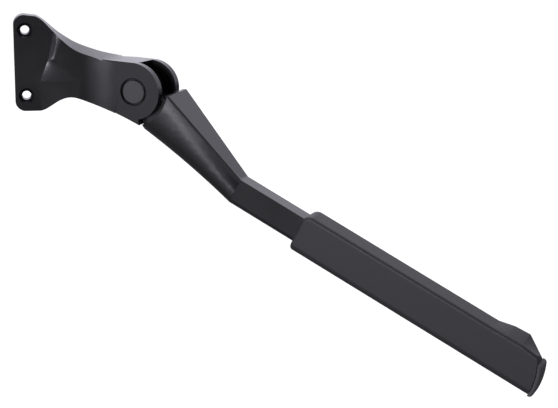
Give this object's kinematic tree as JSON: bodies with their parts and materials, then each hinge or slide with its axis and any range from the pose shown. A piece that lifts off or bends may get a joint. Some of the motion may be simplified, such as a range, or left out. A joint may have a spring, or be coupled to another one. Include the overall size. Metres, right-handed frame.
{
  "type": "bicycle kickstand",
  "caption": "Rear-mount bicycle kickstand: a two-bolt bracket, a tilted hinge with a spring detent, a kinked leg and a sliding foot sleeve with a rubber sole.",
  "frame": {"origin": "midway between the two bolt holes, on the face that meets the bicycle frame", "axes": "+Y out of the mounting face into the bicycle frame, +Z along the line of the bolts, +X from the bolts towards the hinge"},
  "size_m": [0.3051, 0.1514, 0.2124],
  "materials": {
    "bracket": "satin black paint on cast aluminium",
    "leg": "satin black paint on cast aluminium",
    "pivot_barrel": "black steel",
    "pivot_screw": "zinc-plated steel",
    "pivot_washer": "zinc-plated steel",
    "lock_washer": "spring steel",
    "bush_front": "sintered bronze",
    "bush_rear": "sintered bronze",
    "detent_plunger": "hardened steel",
    "detent_spring": "spring steel",
    "foot_sleeve": "matte black moulded nylon",
    "foot_pad": "matte black rubber",
    "clamp_screw": "zinc-plated steel",
    "clamp_nut": "zinc-plated steel",
    "clamp_shoe": "brass"
  },
  "bodies": {
    "bracket": {"bracket": "bracket", "pivot_barrel": "pivot_barrel", "pivot_screw": "pivot_screw", "pivot_washer": "pivot_washer", "lock_washer": "lock_washer"},
    "leg": {"leg": "leg", "bush_front": "bush_front", "bush_rear": "bush_rear", "detent_spring": "detent_spring"},
    "plunger": {"detent_plunger": "detent_plunger"},
    "foot": {"foot_sleeve": "foot_sleeve", "foot_pad": "foot_pad", "clamp_screw": "clamp_screw", "clamp_nut": "clamp_nut", "clamp_shoe": "clamp_shoe"}
  },
  "joints": [
    {"name": "leg_fold", "type": "hinge", "parent": "bracket", "child": "leg", "pos_m": [0.0709, -0.0063, -0.0172], "axis": [-0.4772, -0.8788, 0], "range_deg": [0, 97]},
    {"name": "plunger_travel", "type": "slide", "parent": "leg", "child": "plunger", "axis": [0.6322, -0.3432, -0.6947], "range_m": [-0.0009, 0], "stiffness_N_per_m": 3000, "springref_m": -0.0009, "deforming": ["detent_spring"]},
    {"name": "foot_length", "type": "slide", "parent": "leg", "child": "foot", "axis": [0.7865, -0.427, -0.4462], "range_m": [-0.025, 0.035]}
  ]
}
